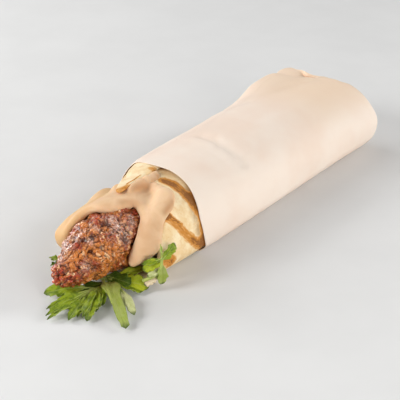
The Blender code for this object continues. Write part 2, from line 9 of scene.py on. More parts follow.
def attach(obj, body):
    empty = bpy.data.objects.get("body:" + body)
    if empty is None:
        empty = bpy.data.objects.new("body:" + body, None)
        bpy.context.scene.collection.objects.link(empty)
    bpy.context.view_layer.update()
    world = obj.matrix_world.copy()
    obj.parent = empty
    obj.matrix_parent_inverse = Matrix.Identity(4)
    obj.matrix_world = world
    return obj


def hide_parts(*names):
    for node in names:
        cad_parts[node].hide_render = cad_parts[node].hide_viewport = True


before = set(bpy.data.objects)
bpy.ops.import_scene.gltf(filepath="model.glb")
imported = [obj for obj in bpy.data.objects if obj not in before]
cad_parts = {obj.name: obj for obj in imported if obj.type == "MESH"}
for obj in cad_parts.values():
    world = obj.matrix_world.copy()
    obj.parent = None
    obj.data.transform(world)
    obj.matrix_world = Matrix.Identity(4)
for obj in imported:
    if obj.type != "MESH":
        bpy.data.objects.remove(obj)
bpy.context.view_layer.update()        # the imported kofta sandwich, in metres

mm = 0.001
rollHigh = 20.0  # height in mm of the middle of the roll


# small helpers

def deselectAll():
    if bpy.context.object and bpy.context.object.mode != "OBJECT":
        bpy.ops.object.mode_set(mode="OBJECT")
    bpy.ops.object.select_all(action="DESELECT")


def pickOnly(piece):
    deselectAll()
    piece.select_set(True)
    bpy.context.view_layer.objects.active = piece


def cadCopy(node, name):  # a merged, mostly quad copy of a CAD node's mesh
    piece = bpy.data.objects.new(name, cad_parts[node].data.copy())
    bpy.context.scene.collection.objects.link(piece)
    pickOnly(piece)
    bpy.ops.mesh.customdata_custom_splitnormals_clear()
    bpy.ops.object.mode_set(mode="EDIT")
    bpy.ops.mesh.select_all(action="SELECT")
    bpy.ops.mesh.remove_doubles(threshold=0.01 * mm)
    bpy.ops.mesh.tris_convert_to_quads(face_threshold=math.pi, shape_threshold=math.pi)
    bpy.ops.object.mode_set(mode="OBJECT")
    piece.data.materials.clear()
    return piece


def applyMod(piece, kind, **settings):
    pickOnly(piece)
    mod = piece.modifiers.new(kind.lower(), kind)
    for key, value in settings.items():
        setattr(mod, key, value)
    bpy.ops.object.modifier_apply(modifier=mod.name)


def subdivide(piece, levels):
    applyMod(piece, "SUBSURF", levels=levels, render_levels=levels)


def readPoints(piece):  # vertex places in mm
    flat = np.empty(len(piece.data.vertices) * 3, np.float32)
    piece.data.vertices.foreach_get("co", flat)
    return flat.reshape(-1, 3).astype(float) / mm


def readNormals(piece):
    flat = np.empty(len(piece.data.vertices) * 3, np.float32)
    piece.data.vertex_normals.foreach_get("vector", flat)
    return flat.reshape(-1, 3).astype(float)


def writePoints(piece, points):
    piece.data.vertices.foreach_set("co", (points * mm).astype(np.float32).ravel())
    piece.data.update()


def saveValues(piece, **values):  # named numbers, one a vertex, for the material
    for name, numbers in values.items():
        layer = piece.data.attributes.new(name, "FLOAT", "POINT")
        layer.data.foreach_set("value", np.asarray(numbers, np.float32))


def softNoise(points, size, seed=0.0):  # smooth noise from -1 to 1, lumps about size mm wide
    shift = Vector((seed * 7.3, seed * 3.1, seed * 5.7))
    return np.array([noise.noise(Vector(p) / size + shift) for p in points])


def lumpNoise(points, size, seed=0.0):  # rounded lumps from 0 to 1 with sharp valleys between them
    return np.minimum(1.0, 2.4 * np.abs(softNoise(points, size, seed)))


def warpPoints(points, size, amount):
    shift = np.stack([softNoise(points, size, seed) for seed in (11.0, 12.0, 13.0)], axis=1)
    return points + amount * shift


def smooth01(value, low, high):
    part = np.clip((value - low) / (high - low), 0.0, 1.0)
    return part * part * (3 - 2 * part)


def nearPath(points, path):  # distance in mm to a line of points
    best = np.full(len(points), 1e9)
    for a, b in zip(path, path[1:]):
        a, b = np.array(a, float), np.array(b, float)
        along = b - a
        part = np.clip((points - a) @ along / (along @ along), 0.0, 1.0)
        best = np.minimum(best, np.linalg.norm(points - a - part[:, None] * along, axis=1))
    return best


def pathFrame(points, path):  # distance from a path, mm along it and mm across it, signed
    away, along, across = np.full(len(points), 1e9), np.zeros(len(points)), np.zeros(len(points))
    start = 0.0
    for a, b in zip(path, path[1:]):
        a, b = np.array(a, float), np.array(b, float)
        length = np.linalg.norm(b - a)
        line = (b - a) / length
        part = (points - a) @ line
        offset = points - a - np.clip(part, 0.0, length)[:, None] * line
        gap = np.linalg.norm(offset, axis=1)
        side = np.cross(line, (a + b) / 2 * (1.0, 0.0, 1.0) - (0.0, 0.0, rollHigh))
        near = gap < away
        away[near], along[near] = gap[near], start + part[near]
        across[near] = (offset @ (side / np.linalg.norm(side)))[near]
        start += length
    return away, along, across


def fade(points, middle, radius):  # 1 at the place, fading away over about radius mm
    return np.exp(-(np.linalg.norm(points - middle, axis=1) / radius) ** 2)


def pullPoints(points, pulls):  # moves what is near each place by a few mm
    moved = points.copy()
    for middle, radius, shift in pulls:
        moved += fade(points, middle, radius)[:, None] * shift
    return moved


def glow(points, spots):  # 0 to 1 near any of the spots, each a place and a radius in mm
    return np.minimum(sum(fade(points, spot, radius) for spot, radius in spots), 1.0)


def ridgeLift(points, ridges):  # ridges and dents, each (height mm, half width mm, points mm along it)
    lift = np.zeros(len(points))
    for height, width, path in ridges:
        lift += height * np.exp(-(nearPath(points, path) / width) ** 2)
    return lift


def finishPiece(piece, node, material=None):
    if material:
        piece.data.materials.append(material)
    pickOnly(piece)
    bpy.ops.object.shade_smooth()
    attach(piece, "root")
    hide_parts(node)
    print(piece.name, len(piece.data.polygons))


# material helper

class Finish:  # one Principled material and short ways to add nodes to it
    def __init__(self, name, **sockets):
        self.material = bpy.data.materials.new(name)
        self.material.use_nodes = True
        self.nodes = self.material.node_tree.nodes
        self.links = self.material.node_tree.links
        self.shader = self.nodes["Principled BSDF"]
        for key, value in sockets.items():
            self.shader.inputs[key].default_value = value
        self.place = self.add("ShaderNodeTexCoord").outputs["Object"]

    def add(self, kind, **settings):
        node = self.nodes.new(kind)
        for key, value in settings.items():
            setattr(node, key, value)
        return node

    def feed(self, socket, value):
        if isinstance(value, bpy.types.NodeSocket):
            self.links.new(value, socket)
        else:
            socket.default_value = value

    def grain(self, size, detail=3.0, rough=0.55, where=None, warp=0.0):  # noise, lumps size mm wide
        node = self.add("ShaderNodeTexNoise")
        self.feed(node.inputs["Vector"], where or self.place)
        node.inputs["Scale"].default_value = 1.0 / (size * mm)
        node.inputs["Detail"].default_value = detail
        node.inputs["Roughness"].default_value = rough
        node.inputs["Distortion"].default_value = warp
        return node.outputs["Fac"]

    def patches(self, size, detail, rough, low, high, share=1.0, warp=0.0):  # 0 to share, in patches
        return self.span(self.grain(size, detail, rough, warp=warp), low, high, 0.0, share)

    def value(self, name):  # a value saved on the mesh
        return self.add("ShaderNodeAttribute", attribute_name=name).outputs["Fac"]

    def span(self, value, low, high, toLow=0.0, toHigh=1.0):
        node = self.add("ShaderNodeMapRange", interpolation_type="SMOOTHSTEP")
        for key, number in (("Value", value), ("From Min", low), ("From Max", high),
                            ("To Min", toLow), ("To Max", toHigh)):
            self.feed(node.inputs[key], number)
        return node.outputs["Result"]

    def math(self, operation, a, b=0.0):
        node = self.add("ShaderNodeMath", operation=operation)
        self.feed(node.inputs[0], a)
        self.feed(node.inputs[1], b)
        return node.outputs[0]

    def mix(self, share, a, b, blend="MIX"):
        node = self.add("ShaderNodeMix", data_type="RGBA", blend_type=blend)
        self.feed(node.inputs["Factor"], share)
        for key, colour in (("A", a), ("B", b)):
            socket = [s for s in node.inputs if s.name == key and s.type == "RGBA"][0]
            self.feed(socket, (*colour, 1.0) if isinstance(colour, tuple) else colour)
        return [s for s in node.outputs if s.type == "RGBA"][0]

    def colour(self, value):
        self.feed(self.shader.inputs["Base Color"], value)

    def roughness(self, value):
        self.feed(self.shader.inputs["Roughness"], value)

    def bump(self, height, distance, strength=1.0):  # distance in mm
        node = self.add("ShaderNodeBump")
        node.inputs["Strength"].default_value = strength
        node.inputs["Distance"].default_value = distance * mm
        self.feed(node.inputs["Height"], height)
        if self.shader.inputs["Normal"].links:
            self.feed(node.inputs["Normal"], self.shader.inputs["Normal"].links[0].from_socket)
        self.feed(self.shader.inputs["Normal"], node.outputs["Normal"])


# kofta: (size mm, height mm, seed, painted shade in its valleys) of lumps, (height, radius, place) of
# pushes, (place, radius) of pits, fat and glint bits and spots, all in mm

koftaLook = {
    "warpSize": 4.5, "warp": 1.5,
    "lumps": [(8.0, 0.7, 2.6, 0.1), (4.2, 1.1, 3.0, 0.6), (2.2, 0.80, 4.0, 0.6), (1.1, 0.34, 5.0, 0.4)],
    "pushes": [(-3.4, 6.0, (-10.5, -162.0, 20.0)), (1.6, 4.0, (-6.5, -170.0, 12.5)),
               (0.9, 2.8, (0.9, -154.2, 28.1)), (1.0, 3.0, (-1.5, -138.2, 34.1)),
               (0.9, 2.2, (7.2, -151.4, 27.8)), (0.7, 3.0, (-3.0, -144.5, 32.0)),
               (0.7, 3.0, (13.5, -148.0, 21.5)), (0.7, 3.0, (15.6, -141.2, 22.9)),
               (0.7, 2.5, (2.2, -163.9, 20.5)), (0.6, 2.2, (7.6, -161.9, 12.3))],
    "pits": [((4.8, -148.6, 30.8), 2.0), ((5.8, -149.1, 30.1), 1.4), ((2.5, -152.2, 29.4), 1.3),
             ((1.6, -167.3, 17.4), 1.5), ((7.4, -153.9, 25.0), 1.0), ((8.9, -152.6, 25.0), 0.9),
             ((5.7, -138.5, 34.0), 1.7), ((13.6, -131.8, 29.0), 1.3), ((7.5, -161.4, 17.7), 1.0),
             ((-1.6, -169.0, 15.5), 1.2), ((-8.8, -146.5, 26.5), 1.2), ((13.4, -146.0, 14.5), 1.2)],
    # fat bits, raised and with a thicker coat, set where highlights show; their pale colour is partly
    # painted highlight
    "bits": [((13.4, -148.5, 23.1), 0.8), ((13.8, -147.8, 22.0), 1.1), ((14.3, -146.9, 20.8), 0.9),
             ((10.9, -151.6, 23.8), 0.7), ((11.6, -151.1, 22.8), 0.9), ((12.1, -150.9, 21.7), 0.7),
             ((11.4, -148.5, 26.0), 1.2), ((0.6, -159.6, 23.1), 0.9), ((5.6, -156.3, 24.3), 0.8),
             ((5.3, -156.3, 25.2), 0.6), ((9.5, -145.2, 29.6), 0.9), ((13.3, -139.6, 28.3), 0.7),
             ((13.9, -139.0, 27.1), 0.8), ((14.3, -138.5, 25.9), 0.8), ((15.5, -138.5, 24.5), 0.8),
             ((5.4, -164.3, 16.7), 0.9), ((7.3, -143.0, 31.3), 0.8), ((3.5, -166.5, 17.1), 1.2),
             ((-1.3, -166.7, 20.2), 0.9), ((4.6, -160.0, 20.5), 0.7), ((16.6, -136.0, 22.0), 0.7)],
    "pitDepth": 1.1, "bitHeight": 0.35,
    "pitWarp": (1.6, 1.1), "bitWarp": (1.3, 0.5),
    "crumbSize": 1.9, "crumbHeight": 0.28, "crumbReach": 0.75, "fineSize": 0.55, "fineHeight": 0.10,
    "lumpLevel": 0.55, "crumbLevel": 0.4, "fatShare": (0.84, 0.90), "pitShade": 0.8,
    "red": (0.39, 0.054, 0.017), "amber": (0.69, 0.225, 0.038), "brown": (0.22, 0.060, 0.013),
    "scarlet": (0.56, 0.052, 0.022), "dark": (0.060, 0.012, 0.005), "fat": (0.86, 0.49, 0.24),
    "pale": (0.74, 0.53, 0.42), "shownFrom": -92.0, "shownFade": 12.0,
    "redSpots": [((-3.0, -168.0, 12.0), 6.0), ((-0.9, -167.6, 18.1), 4.5), ((0.9, -154.2, 28.1), 3.0),
                 ((-0.4, -139.4, 34.6), 3.6), ((5.3, -165.0, 14.7), 2.6), ((7.6, -161.9, 12.3), 2.6),
                 ((-8.8, -145.0, 29.2), 2.4), ((8.9, -122.1, 33.7), 4.0), ((12.9, -142.3, 28.2), 2.2),
                 ((-16.0, -140.0, 20.0), 5.0), ((-12.0, -156.0, 12.0), 4.0)],
    "amberSpots": [((2.2, -163.9, 20.5), 3.8), ((10.4, -150.4, 25.6), 4.0), ((15.6, -141.2, 22.9), 5.0),
                   ((13.9, -145.8, 16.0), 4.5), ((8.7, -149.2, 9.1), 5.0), ((2.3, -158.5, 23.1), 3.0),
                   ((-3.4, -143.8, 32.2), 3.4), ((14.2, -145.0, 20.6), 4.0), ((7.8, -158.3, 11.3), 4.0),
                   ((6.5, -155.0, 25.0), 3.0), ((-14.0, -152.0, 16.0), 5.0), ((-12.0, -134.0, 26.0), 5.0)],
    # spots with a thicker coat, which also take pale specks of painted sheen
    "glazeSpots": [((-9.4, -154.4, 24.5), 4.5), ((-3.7, -160.5, 24.4), 3.6), ((-2.8, -163.0, 22.4), 2.8),
                   ((-4.0, -156.5, 26.6), 3.2), ((-8.3, -144.4, 29.6), 1.8), ((-2.5, -150.4, 29.7), 2.2),
                   ((9.4, -133.8, 32.2), 3.8), ((12.4, -135.2, 29.5), 4.4), ((15.3, -132.4, 26.9), 4.4),
                   ((12.8, -124.9, 31.5), 3.0), ((6.0, -134.8, 34.2), 2.6), ((3.3, -143.6, 32.1), 2.2),
                   ((6.1, -151.2, 28.9), 1.8), ((8.9, -158.3, 19.5), 2.4)],
}


def koftaMaterial():
    look = koftaLook
    finish = Finish("grilledMince", **{"Coat Roughness": 0.08, "Specular IOR Level": 0.22,
                                       "Subsurface Weight": 0.08, "Subsurface Scale": 0.0015,
                                       "Subsurface Radius": (1.0, 0.35, 0.2)})
    top, fat = finish.value("grainTop"), finish.value("fatBit")
    red, amber, glaze = [finish.value(name) for name in ("redZone", "amberZone", "glazeZone")]
    tone = finish.math("MULTIPLY", finish.math("SUBTRACT", amber, red), 0.22)
    tone = finish.math("ADD", finish.grain(6.0, 3.0, 0.6, warp=0.5), tone)
    body = finish.mix(finish.span(tone, 0.44, 0.60), look["red"], look["amber"])
    rawRed = finish.math("MULTIPLY", red, finish.span(finish.grain(2.5, 3.0, 0.6), 0.35, 0.6, 0.3, 0.9))
    body = finish.mix(rawRed, body, look["scarlet"])
    scorch = finish.math("MULTIPLY", finish.patches(4.0, 4.0, 0.65, 0.46, 0.62, 0.8),
                         finish.span(amber, 0.0, 1.0, 1.0, 0.35))
    body = finish.mix(scorch, body, look["brown"])
    body = finish.mix(finish.patches(1.7, 3.0, 0.6, 0.52, 0.64, 0.75), body, look["amber"])
    # painted sheen: pale pink-white specks in these spots, in the pale colour, stand in for highlights
    speck = finish.math("MULTIPLY", glaze, finish.patches(1.1, 3.0, 0.6, 0.40, 0.54))
    body = finish.mix(finish.math("MULTIPLY", speck, 0.65), body, look["pale"])
    # pale fat specks, which partly stand in for small glints as painted highlight
    body = finish.mix(finish.patches(1.3, 2.0, 0.6, 0.585, 0.655, 0.65, warp=0.4), body, look["fat"])
    calm = finish.span(amber, 0.2, 1.0, 1.0, 0.4)  # fewer dark crumbs where it is amber
    crumb = finish.patches(0.9, 3.0, 0.65, 0.50, 0.60, 0.6)
    body = finish.mix(finish.math("MULTIPLY", crumb, calm), body, look["brown"])
    crumb = finish.patches(1.4, 2.0, 0.6, 0.62, 0.68, 0.6, warp=0.8)
    body = finish.mix(finish.math("MULTIPLY", crumb, calm), body, look["dark"])
    # the pale fat colour on fat crumbs and on the bits, partly painted highlight
    body = finish.mix(finish.span(fat, 0.25, 0.65, 0.0, 0.95), body, look["fat"])
    # painted shade: darker in the valleys between lumps and in the pits
    body = finish.mix(finish.span(top, 0.14, 0.62, 0.9, 0.0), body, look["dark"])
    finish.colour(body)
    finish.roughness(finish.span(finish.grain(4.0, 3.0), 0.38, 0.62, 0.30, 0.55))
    wet = finish.math("MULTIPLY", finish.math("MAXIMUM", glaze, fat), 0.60)
    finish.feed(finish.shader.inputs["Coat Weight"], finish.math("ADD", 0.40, wet))
    finish.bump(finish.grain(1.5, 2.0, 0.7), 0.60)
    finish.bump(finish.grain(0.7, 2.0, 0.7), 0.22)
    return finish.material


def makeKofta():
    look = koftaLook
    kofta = cadCopy("kofta", "grilledKofta")
    subdivide(kofta, 3)
    points, normals = readPoints(kofta), readNormals(kofta)
    # 1 where it stands out of the roll, fading to 0 inside it
    shown = smooth01(points[:, 1], look["shownFrom"] + look["shownFade"], look["shownFrom"])
    warped = warpPoints(points, look["warpSize"], look["warp"])
    lift, tops = np.zeros(len(points)), np.ones(len(points))
    for size, height, seed, shade in look["lumps"]:
        lump = lumpNoise(warped, size, seed)
        lift += height * (lump - look["lumpLevel"])
        # the valleys between lumps are marked for painted shade
        tops *= 1.0 - shade + shade * smooth01(lump, 0.0, look["lumpLevel"])
    crumbs, fats = np.zeros(len(points)), np.zeros(len(points))
    for i in np.nonzero(shown > 0)[0]:  # round crumbs, a few of them fat
        near, places = noise.voronoi(Vector(warped[i]) / look["crumbSize"])
        crumbs[i] = max(0.0, 1.0 - (near[0] / look["crumbReach"]) ** 2)
        fats[i] = smooth01(noise.cell(places[0] * 9.1), *look["fatShare"])
    lift += look["crumbHeight"] * (crumbs - look["crumbLevel"])
    lift += look["fineHeight"] * softNoise(points, look["fineSize"], 8.0)
    for height, radius, middle in look["pushes"]:
        lift += height * fade(points, middle, radius)
    pits = glow(warpPoints(points, *look["pitWarp"]), look["pits"])
    bits = glow(warpPoints(points, *look["bitWarp"]), look["bits"])
    lift += look["bitHeight"] * bits - look["pitDepth"] * pits
    writePoints(kofta, points + normals * (lift * shown)[:, None])
    # the pits take painted shade too
    tops *= 1.0 - look["pitShade"] * pits
    saveValues(kofta, grainTop=tops, fatBit=np.maximum(fats * crumbs, bits),
               redZone=glow(points, look["redSpots"]), amberZone=glow(points, look["amberSpots"]),
               glazeZone=glow(points, look["glazeSpots"]))
    finishPiece(kofta, "kofta", koftaMaterial())


# dents of the wrapped roll

shoulderPull = ((-26.0, -90.0, 31.0), 10.5, (1.8, 0.0, -5.0))  # it sags at the top left of its mouth

wrapDents = [  # (height mm, half width mm, points mm along it), shared by paper and bread
    (-1.5, 3.6, [(-3.9, -38.8, 44.5), (5.2, -39.4, 44.3), (14.1, -40.0, 42.5), (21.0, -41.0, 39.6),
                 (25.8, -42.0, 36.1)]),
    (0.8, 2.2, [(-5.0, -46.6, 44.5), (5.2, -47.0, 44.3), (14.1, -47.6, 42.5), (21.0, -48.0, 39.6)]),
    (-0.7, 1.4, [(2.0, -34.0, 44.6), (9.0, -41.0, 43.6), (12.0, -47.0, 43.0)]),
    (-1.4, 7.0, [(-25.0, 14.0, 39.0), (-24.0, 28.0, 40.0)]),
]


# flatbread

breadLook = {
    "blisterSize": 6.0, "blisterHeight": 0.28, "crumbSize": 1.3, "crumbHeight": 0.07,
    "cream": (0.84, 0.62, 0.34), "pale": (0.93, 0.78, 0.52), "tan": (0.72, 0.39, 0.13),
    "toast": (0.55, 0.210, 0.024), "char": (0.20, 0.070, 0.018), "crust": (0.45, 0.28, 0.135),
    "swell": 0.15, "dentShare": 1.1, "markFade": (0.35, 1.35), "rimFade": (2.0, 6.6),
    "streakAlong": 0.22, "streakAcross": 0.9,
    "pulls": [shoulderPull, ((-11.1, -100.3, 41.7), 5.0, (0.5, 0.0, -1.8)),
              ((-12.0, 80.0, 42.0), 9.0, (0.0, 0.0, -1.6)), ((-21.5, -92.5, 26.0), 4.2, (0.3, 4.2, 1.6))],
}
# grill marks; the lines along the sleeve's rim, about -89 to -91 mm along, are partly browning and partly
# painted shade
grillMarks = [  # (half width mm, strength, points mm along the middle of the mark)
    (3.4, 1.15, [(8.4, -92.2, 40.3), (13.5, -91.0, 39.2), (17.8, -91.7, 37.7), (21.6, -91.6, 35.8),
                 (24.9, -91.9, 33.4), (27.5, -91.1, 30.3)]),
    (2.9, 1.4, [(9.4, -92.4, 40.1), (14.2, -91.7, 39.1)]),
    (2.4, 1.15, [(22.9, -89.0, 35.1), (27.0, -90.4, 31.1), (29.4, -91.4, 27.5)]),
    (2.2, 0.95, [(29.4, -91.0, 27.5), (31.6, -90.9, 20.0), (32.0, -89.8, 12.6)]),
    (1.0, 1.45, [(9.0, -90.0, 41.0), (14.2, -89.2, 39.8), (19.0, -89.8, 38.2), (23.2, -90.2, 36.0)]),
    (3.2, 1.5, [(22.8, -90.6, 35.5), (26.2, -91.4, 32.2)]),
    (3.2, 1.4, [(32.0, -90.6, 13.4), (31.8, -90.6, 10.6), (31.6, -89.4, 7.4)]),
    (3.1, 0.86, [(22.9, -114.8, 33.0), (25.9, -111.0, 30.6), (28.1, -109.0, 27.5), (29.8, -106.2, 23.4),
                (31.0, -102.5, 18.7), (31.6, -98.0, 14.1), (31.6, -93.0, 9.5), (31.4, -88.0, 7.0)]),
    (2.2, 1.25, [(22.6, -115.0, 33.4), (24.9, -112.4, 31.4)]),
    (2.6, 1.2, [(31.0, -99.0, 15.2), (31.6, -95.0, 11.5), (31.6, -91.0, 9.0)]),
    (0.9, 1.15, [(23.9, -110.9, 32.5), (25.6, -109.7, 31.1), (27.3, -107.8, 28.8), (29.1, -105.0, 25.6)]),
    (2.2, 1.4, [(22.6, -111.4, 33.2), (25.0, -110.2, 31.7)]),
    (4.4, 1.0, [(30.1, -120.9, 13.4), (30.2, -118.6, 12.0), (30.0, -116.4, 9.6)]),
    (2.1, 0.8, [(-1.8, -89.5, 43.8), (0.0, -89.6, 42.8), (0.8, -89.0, 41.0)]),
    (1.9, 0.75, [(-3.0, -119.4, 41.6), (-0.8, -117.4, 42.0), (0.2, -114.4, 41.9), (0.6, -111.0, 41.8)]),
    (0.45, 1.0, [(-1.2, -111.0, 43.0), (-1.3, -108.4, 43.1), (-1.3, -105.0, 43.2), (-1.4, -99.7, 43.5)]),
]
# the bread takes painted shade along this line, under the rim of the sleeve
browned = [(22.9, -89.0, 35.6), (27.0, -90.8, 31.1), (29.8, -91.6, 26.5), (31.6, -91.5, 20.0),
           (32.0, -90.3, 12.6)]  # along the rim of the sleeve


def breadMaterial():
    look = breadLook
    finish = Finish("bakedFlatbread", **{"Roughness": 0.82, "Specular IOR Level": 0.25})
    body = finish.mix(finish.patches(7.0, 4.0, 0.6, 0.38, 0.64), look["cream"], look["pale"])
    body = finish.mix(finish.patches(4.5, 5.0, 0.65, 0.54, 0.76, 0.30), body, look["tan"])
    mark = finish.value("grillMark")
    lines = finish.add("ShaderNodeCombineXYZ")  # streaks along each mark, which is measured in mm
    finish.feed(lines.inputs["X"], finish.math("MULTIPLY", finish.value("markAlong"), look["streakAlong"]))
    finish.feed(lines.inputs["Y"],
                finish.math("MULTIPLY", finish.value("markAcross"), look["streakAcross"]))
    streak = finish.grain(1.0 / mm, 4.0, 0.5, where=lines.outputs["Vector"])  # a noise scale of 1
    streak = finish.math("MULTIPLY", finish.math("SUBTRACT", streak, 0.5), 1.5)
    mottle = finish.math("MULTIPLY", finish.math("SUBTRACT", finish.grain(2.0, 5.0, 0.65), 0.5), 0.5)
    shade = finish.math("MULTIPLY", finish.math("ADD", streak, mottle), finish.span(mark, 0.02, 0.4))
    shade = finish.math("ADD", mark, shade)
    # painted shade along the sleeve's rim, in a grey brown
    rim = finish.span(finish.grain(3.0, 4.0, 0.6), 0.2, 0.6, 0.4)
    rim = finish.math("MULTIPLY", finish.value("rimShade"), rim)
    body = finish.mix(finish.math("MULTIPLY", rim, 0.9), body, look["crust"])
    body = finish.mix(finish.span(shade, 0.18, 0.55), body, look["tan"])
    body = finish.mix(finish.span(shade, 0.45, 0.90, 0.0, 0.9), body, look["toast"])
    body = finish.mix(finish.span(shade, 0.95, 1.25, 0.0, 0.8), body, look["char"])
    body = finish.mix(finish.patches(1.2, 4.0, 0.7, 0.50, 0.70, 0.30), body, look["tan"])
    finish.colour(body)
    finish.bump(finish.grain(0.7, 5.0, 0.7), 0.10)
    finish.bump(finish.grain(3.0, 3.0, 0.6), 0.20)
    return finish.material


def makeBread():
    look = breadLook
    bread = cadCopy("flatbread", "rolledFlatbread")
    subdivide(bread, 3)
    points, normals = readPoints(bread), readNormals(bread)
    lift = look["swell"] + look["blisterHeight"] * softNoise(points, look["blisterSize"], 1.0)
    lift += look["crumbHeight"] * softNoise(points, look["crumbSize"], 4.0)
    lift += look["dentShare"] * ridgeLift(points, wrapDents)
    writePoints(bread, pullPoints(points + normals * lift[:, None], look["pulls"]))
    mark, along, across = np.zeros(len(points)), np.zeros(len(points)), np.zeros(len(points))
    inner, outer = look["markFade"]
    for width, strength, path in grillMarks:
        away, far, side = pathFrame(points, path)
        here = strength * (1 - smooth01(away, inner * width, outer * width))
        more = here > mark
        mark[more], along[more], across[more] = here[more], far[more], side[more]
    rim = 1 - smooth01(nearPath(points, browned), *look["rimFade"])
    saveValues(bread, grillMark=mark, markAlong=along, markAcross=across, rimShade=rim)
    finishPiece(bread, "flatbread", breadMaterial())


# sauce

sauceLook = {
    "voxel": 0.9, "smoothing": (10, 4), "swell": 0.75, "rippleSize": 11.0, "rippleHeight": 0.30,
    "cream": (0.79, 0.55, 0.34), "deep": (0.73, 0.475, 0.28), "shade": (0.50, 0.26, 0.12),
    # the thin colour is painted shade, darker and warmer towards the left side, from x -3 to -14 mm
    "thin": (0.66, 0.40, 0.18), "thinSide": (-3.0, -14.0),
    "pulls": [shoulderPull, ((-24.0, -119.5, 30.5), 8.5, (1.6, 0.2, -1.6)),
              ((-23.6, -139.0, 20.0), 5.5, (-2.2, -1.2, 0.8)),
              ((-16.4, -98.0, 35.4), 4.2, (1.4, 0.0, -4.4)), ((26.9, -132.0, 15.5), 3.6, (0.0, 0.0, 2.0))],
}
sauceRidges = [  # (height mm, half width mm, points mm along the crest)
    (0.9, 3.0, [(-1.3, -108.5, 39.8), (-1.9, -100.8, 40.0), (-0.1, -90.5, 38.7)]),
    (-0.8, 2.2, [(3.5, -110.5, 39.0), (7.6, -101.9, 39.0), (8.8, -94.0, 37.4)]),
    (0.7, 2.6, [(17.8, -103.9, 41.0), (23.1, -107.0, 40.0), (25.5, -110.5, 37.2)]),
    (0.6, 2.4, [(25.2, -115.4, 34.7), (26.2, -120.1, 31.1), (27.4, -125.2, 25.1), (27.8, -128.7, 20.7)]),
    (-0.7, 3.0, [(14.0, -112.0, 39.0), (18.4, -119.0, 33.4), (20.6, -126.0, 26.0)]),
    (0.6, 2.4, [(-14.0, -108.0, 36.2), (-16.4, -118.9, 32.9), (-18.3, -127.4, 30.5),
                (-20.5, -134.7, 26.6)]),
]
sauceBlobs = [  # (middle mm, radius mm), melted into the sauce
    ((10.5, -101.0, 38.2), 3.4), ((13.4, -101.6, 38.6), 3.0), ((8.0, -99.5, 39.0), 2.6),
    ((-1.6, -130.6, 35.8), 1.8), ((0.5, -130.0, 36.6), 1.9), ((2.4, -129.0, 37.2), 1.9),
    ((3.9, -126.8, 37.4), 1.9), ((4.9, -123.5, 37.1), 1.9), ((6.0, -119.5, 36.0), 1.9),
    ((2.2, -111.4, 40.2), 2.2), ((2.2, -107.9, 40.8), 2.4), ((2.2, -103.6, 41.2), 2.5),
    ((2.2, -98.4, 40.9), 2.6), ((2.6, -94.1, 39.9), 2.6), ((4.0, -91.0, 38.2), 2.4),
    ((26.9, -124.4, 21.8), 2.3), ((26.9, -126.8, 20.6), 2.3), ((25.4, -130.4, 19.2), 2.2),
    ((22.4, -134.2, 16.2), 2.2), ((20.2, -135.4, 14.4), 1.9), ((1.8, -89.8, 39.6), 1.9),
    ((26.4, -120.9, 25.3), 1.4), ((25.6, -118.6, 28.0), 1.4), ((27.2, -122.7, 22.6), 1.5),
    ((1.6, -94.0, 41.4), 1.7), ((1.6, -91.5, 41.4), 1.7), ((1.6, -89.4, 41.0), 1.6),
    ((-25.4, -92.4, 28.4), 2.4),
]
sauceShades = [  # (half width mm, strength, points mm along the shaded line)
    (2.0, 0.55, [(5.3, -123.8, 39.1), (6.4, -120.4, 38.6), (8.4, -118.0, 37.6), (10.1, -117.7, 36.2)]),
    (2.6, 1.0, [(4.4, -115.2, 43.0), (4.4, -110.4, 42.0), (4.4, -105.6, 40.9), (4.6, -100.6, 39.2),
                (5.4, -95.8, 38.0)]),
    (2.2, 0.9, [(25.9, -115.3, 36.3), (26.1, -111.2, 38.1), (25.7, -108.4, 38.8)]),
    (1.7, 0.9, [(5.7, -93.6, 39.8), (4.1, -92.3, 41.8)]),
    (2.6, 0.30, [(18.8, -125.3, 31.1), (23.2, -130.5, 26.2), (25.1, -133.2, 21.1)]),
    (5.0, 0.34, [(25.0, -123.0, 31.0), (24.0, -128.0, 27.0), (24.7, -133.5, 20.6), (22.6, -135.9, 18.2)]),
    (2.6, 0.8, [(5.2, -97.5, 40.8), (5.2, -94.5, 40.6)]),
    (5.0, 0.15, [(-3.3, -130.0, 40.3), (-12.0, -131.0, 36.0)]),
]


def sauceMaterial():
    look = sauceLook
    finish = Finish("creamSauce", **{"Roughness": 0.6, "Specular IOR Level": 0.10,
                                     "Subsurface Weight": 0.3, "Subsurface Scale": 0.002,
                                     "Subsurface Radius": (1.0, 0.6, 0.35)})
    body = finish.mix(finish.patches(9.0, 3.0, 0.5, 0.35, 0.68, warp=0.6), look["cream"], look["deep"])
    # painted shade: the thin colour darkens and warms the left side
    body = finish.mix(finish.math("MULTIPLY", finish.value("thin"), 0.8), body, look["thin"])
    body = finish.mix(finish.math("MULTIPLY", finish.value("shade"), 0.8), body, look["shade"])
    body = finish.mix(finish.patches(0.8, 2.0, 0.55, 0.66, 0.74, 0.25), body, look["deep"])
    finish.colour(body)
    finish.bump(finish.grain(5.0, 3.0, 0.5, warp=0.8), 0.12, 0.6)
    finish.bump(finish.grain(0.9, 2.0), 0.05, 0.5)
    return finish.material


